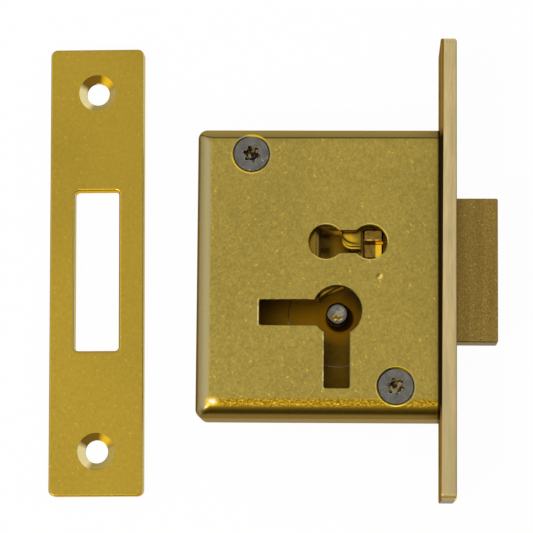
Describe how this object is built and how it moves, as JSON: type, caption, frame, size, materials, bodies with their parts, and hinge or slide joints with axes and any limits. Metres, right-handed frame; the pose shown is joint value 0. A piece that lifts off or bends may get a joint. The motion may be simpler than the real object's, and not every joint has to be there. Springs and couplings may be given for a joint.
{
  "type": "cut cupboard lock",
  "caption": "Brass lever lock let into the edge of a cupboard door, with a pressed case, a deadbolt through its forend, an L-shaped keyhole and a separate striking plate.",
  "frame": {"origin": "on the key's axis, at the back face of the case", "axes": "+Z out of the keyhole, +X the way the bolt is thrown, +Y along the forend towards the window"},
  "size_m": [0.1007, 0.1023, 0.0212],
  "materials": {
    "cap_brass": "satin, lacquered",
    "plate_brass": "satin, brushed along the plate",
    "bolt_brass": "satin, worn bright at the edges",
    "lever_brass": "stamped, bright",
    "inner_brass": "turned",
    "screw_steel": "zinc plated, satin",
    "pin_steel": "turned, hardened",
    "spring_bronze": "rolled strip",
    "striker_brass": "satin, lacquered"
  },
  "bodies": {
    "case": {"cap": "cap_brass", "back_plate": "plate_brass", "forend": "plate_brass", "forend_rivets": "plate_brass", "cap_pillar_rear": "inner_brass", "cap_pillar_front": "inner_brass", "cap_screw_rear": "screw_steel", "cap_screw_front": "screw_steel", "drill_pin": "pin_steel", "lever_pivot_post": "inner_brass", "lever_retaining_collar": "inner_brass", "spring_block": "inner_brass", "lever_spring_1": "spring_bronze", "lever_spring_2": "spring_bronze", "lever_spring_3": "spring_bronze", "lever_spring_4": "spring_bronze", "lever_spring_5": "spring_bronze", "lever_spring_6": "spring_bronze", "lever_spring_7": "spring_bronze", "striking_plate": "striker_brass"},
    "bolt": {"bolt": "bolt_brass", "bolt_stump": "bolt_brass"},
    "lever_1": {"lever_1": "lever_brass"},
    "lever_2": {"lever_2": "lever_brass"},
    "lever_3": {"lever_3": "lever_brass"},
    "lever_4": {"lever_4": "lever_brass"},
    "lever_5": {"lever_5": "lever_brass"},
    "lever_6": {"lever_6": "lever_brass"},
    "lever_7": {"lever_7": "lever_brass"}
  },
  "joints": [
    {"name": "bolt_slide", "type": "slide", "parent": "case", "child": "bolt", "axis": [1, 0, 0], "range_m": [-0.0092, 0]},
    {"name": "lever_1_lift", "type": "hinge", "parent": "case", "child": "lever_1", "pos_m": [-0.0185, 0.0156, 0.0056], "axis": [0, 0, 1], "range_deg": [0, 11.77], "deforming": ["lever_spring_1"]},
    {"name": "lever_2_lift", "type": "hinge", "parent": "case", "child": "lever_2", "pos_m": [-0.0185, 0.0156, 0.00677], "axis": [0, 0, 1], "range_deg": [0, 9.21], "deforming": ["lever_spring_2"]},
    {"name": "lever_3_lift", "type": "hinge", "parent": "case", "child": "lever_3", "pos_m": [-0.0185, 0.0156, 0.00794], "axis": [0, 0, 1], "range_deg": [0, 12.79], "deforming": ["lever_spring_3"]},
    {"name": "lever_4_lift", "type": "hinge", "parent": "case", "child": "lever_4", "pos_m": [-0.0185, 0.0156, 0.00911], "axis": [0, 0, 1], "range_deg": [0, 10.24], "deforming": ["lever_spring_4"]},
    {"name": "lever_5_lift", "type": "hinge", "parent": "case", "child": "lever_5", "pos_m": [-0.0185, 0.0156, 0.01028], "axis": [0, 0, 1], "range_deg": [0, 8.19], "deforming": ["lever_spring_5"]},
    {"name": "lever_6_lift", "type": "hinge", "parent": "case", "child": "lever_6", "pos_m": [-0.0185, 0.0156, 0.01145], "axis": [0, 0, 1], "range_deg": [0, 12.28], "deforming": ["lever_spring_6"]},
    {"name": "lever_7_lift", "type": "hinge", "parent": "case", "child": "lever_7", "pos_m": [-0.0185, 0.0156, 0.01262], "axis": [0, 0, 1], "range_deg": [0, 7.68], "deforming": ["lever_spring_7"]}
  ],
  "couplings": [
    {"joint": "lever_1_lift", "follows": "bolt_slide", "rad_per_m": -22.321},
    {"joint": "lever_2_lift", "follows": "bolt_slide", "rad_per_m": -17.469},
    {"joint": "lever_3_lift", "follows": "bolt_slide", "rad_per_m": -24.262},
    {"joint": "lever_4_lift", "follows": "bolt_slide", "rad_per_m": -19.41},
    {"joint": "lever_5_lift", "follows": "bolt_slide", "rad_per_m": -15.528},
    {"joint": "lever_6_lift", "follows": "bolt_slide", "rad_per_m": -23.292},
    {"joint": "lever_7_lift", "follows": "bolt_slide", "rad_per_m": -14.557}
  ]
}
